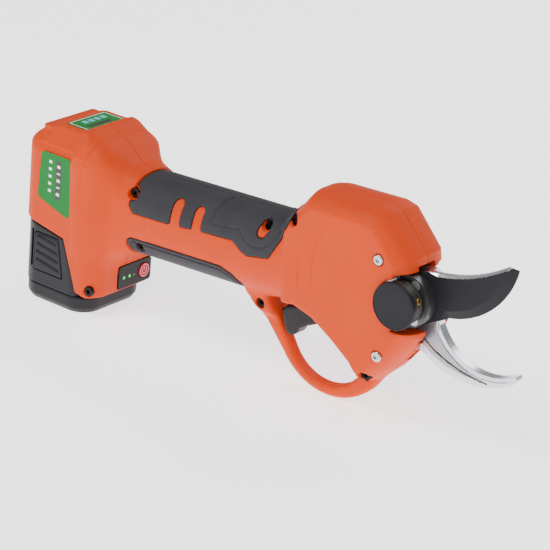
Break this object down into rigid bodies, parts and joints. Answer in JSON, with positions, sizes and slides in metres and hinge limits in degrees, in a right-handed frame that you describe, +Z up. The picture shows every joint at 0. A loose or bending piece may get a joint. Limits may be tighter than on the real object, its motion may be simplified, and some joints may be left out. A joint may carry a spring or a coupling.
{
  "type": "battery electric pruner",
  "caption": "One-hand battery pruner with a curved bypass blade on a geared motor drive, a trigger in a finger guard and a clip-on battery in its foot.",
  "frame": {"origin": "centre of the battery's flat bottom face, on which the tool stands", "axes": "+X along the tool from the battery to the blades, +Z up, +Y to the tool's left"},
  "size_m": [0.2983, 0.0522, 0.1104],
  "materials": {
    "orange_plastic": "fine-textured ABS",
    "grip_rubber": "soft-touch overmould",
    "black_plastic": "fine-textured nylon",
    "panel_black": "smooth film",
    "cap_black": "satin",
    "label_green": "printed film",
    "button_red": "back-lit",
    "led_green": "clear lens",
    "blade_black": "black non-stick coating on steel",
    "jaw_steel": "blasted and ground steel",
    "dark_steel": "blackened steel",
    "bright_steel": "bright steel",
    "motor_zinc": "plated steel and cast aluminium",
    "copper": "enamelled winding",
    "brass": "turned brass",
    "board_green": "circuit board",
    "capacitor_blue": "shrink sleeve",
    "wire_red": "wire sleeve",
    "cell_wrap": "cell sleeve",
    "holder_white": "moulded holder",
    "nickel": "nickel strip"
  },
  "bodies": {
    "root": {"shell_right": "orange_plastic", "shell_left": "orange_plastic", "grip_right": "grip_rubber", "grip_left": "grip_rubber", "under_strip": "grip_rubber", "side_label": "label_green", "top_label": "label_green", "shell_screws": "dark_steel", "head_screws": "bright_steel", "control_panel": "panel_black", "led_lenses": "led_green", "panel_board": "board_green", "control_board": "board_green", "board_capacitor": "capacitor_blue", "power_transistors": "black_plastic", "terminal_block": "black_plastic", "contact_pins": "brass", "phase_wires": "wire_red", "motor_can": "motor_zinc", "motor_stator": "copper", "motor_endcap": "black_plastic", "ring_gear": "bright_steel", "pinion_bearing": "bright_steel", "gear_frame": "motor_zinc", "gear_cover": "motor_zinc", "frame_spacers": "bright_steel", "counter_blade": "jaw_steel", "jaw_screws": "dark_steel", "pivot_bolt": "dark_steel", "pivot_bush": "brass", "thrust_washer": "bright_steel", "lock_nut": "dark_steel", "lock_screw": "brass", "pivot_cap": "cap_black", "trigger_pin": "bright_steel", "trigger_spring": "bright_steel", "hall_sensor": "board_green"},
    "blade": {"blade": "blade_black", "sector_gear": "dark_steel", "sector_screws": "bright_steel"},
    "rotor": {"motor_rotor": "bright_steel", "sun_gear": "bright_steel"},
    "carrier": {"planet_carrier": "dark_steel", "bevel_pinion": "dark_steel"},
    "planet_1": {"planet_gear_1": "bright_steel"},
    "planet_2": {"planet_gear_2": "bright_steel"},
    "planet_3": {"planet_gear_3": "bright_steel"},
    "trigger": {"trigger": "black_plastic", "trigger_magnet": "bright_steel"},
    "power_button": {"power_button": "button_red"},
    "battery": {"battery_shell": "black_plastic", "battery_base": "black_plastic", "cells": "cell_wrap", "cell_holders": "holder_white", "cell_links": "nickel", "battery_board": "board_green", "battery_terminals": "brass"},
    "latch_right": {"latch_right": "black_plastic"},
    "latch_left": {"latch_left": "black_plastic"}
  },
  "joints": [
    {"name": "blade_swing", "type": "hinge", "parent": "root", "child": "blade", "pos_m": [0.213, 0, 0.0695], "axis": [0, 1, 0], "range_deg": [0, 51]},
    {"name": "carrier_spin", "type": "hinge", "parent": "root", "child": "carrier", "pos_m": [0.213, 0, 0.0695], "axis": [0.9986, 0, 0.0523], "range_deg": [-204, 0]},
    {"name": "rotor_spin", "type": "hinge", "parent": "root", "child": "rotor", "pos_m": [0.213, 0, 0.0695], "axis": [0.9986, 0, 0.0523], "range_deg": [-1020, 0]},
    {"name": "planet_spin_1", "type": "hinge", "parent": "carrier", "child": "planet_1", "pos_m": [0.12412, 0.0075, 0.06484], "axis": [0.9986, 0, 0.0523], "range_deg": [0, 544]},
    {"name": "planet_spin_2", "type": "hinge", "parent": "carrier", "child": "planet_2", "pos_m": [0.12378, -0.00375, 0.07133], "axis": [0.9986, 0, 0.0523], "range_deg": [0, 544]},
    {"name": "planet_spin_3", "type": "hinge", "parent": "carrier", "child": "planet_3", "pos_m": [0.12446, -0.00375, 0.05836], "axis": [0.9986, 0, 0.0523], "range_deg": [0, 544]},
    {"name": "trigger_pull", "type": "hinge", "parent": "root", "child": "trigger", "pos_m": [0.16903, 0, 0.04867], "axis": [0, 1, 0], "range_deg": [0, 10], "stiffness_Nm_per_rad": 0.6, "springref_deg": -8.59},
    {"name": "power_press", "type": "slide", "parent": "root", "child": "power_button", "axis": [-1, 0, 0], "range_m": [0, 0.0006], "stiffness_N_per_m": 2000, "springref_m": -0.0005},
    {"name": "battery_slide", "type": "slide", "parent": "root", "child": "battery", "axis": [0, 0, -1], "range_m": [0, 0.08]},
    {"name": "latch_right_press", "type": "slide", "parent": "battery", "child": "latch_right", "axis": [0, 1, 0], "range_m": [0, 0.0015], "stiffness_N_per_m": 2000, "springref_m": -0.0008},
    {"name": "latch_left_press", "type": "slide", "parent": "battery", "child": "latch_left", "axis": [0, -1, 0], "range_m": [0, 0.0015], "stiffness_N_per_m": 2000, "springref_m": -0.0008}
  ],
  "couplings": [
    {"joint": "carrier_spin", "follows": "blade_swing", "ratio": -4},
    {"joint": "rotor_spin", "follows": "blade_swing", "ratio": -20},
    {"joint": "planet_spin_1", "follows": "blade_swing", "ratio": 10.667},
    {"joint": "planet_spin_2", "follows": "blade_swing", "ratio": 10.667},
    {"joint": "planet_spin_3", "follows": "blade_swing", "ratio": 10.667}
  ]
}
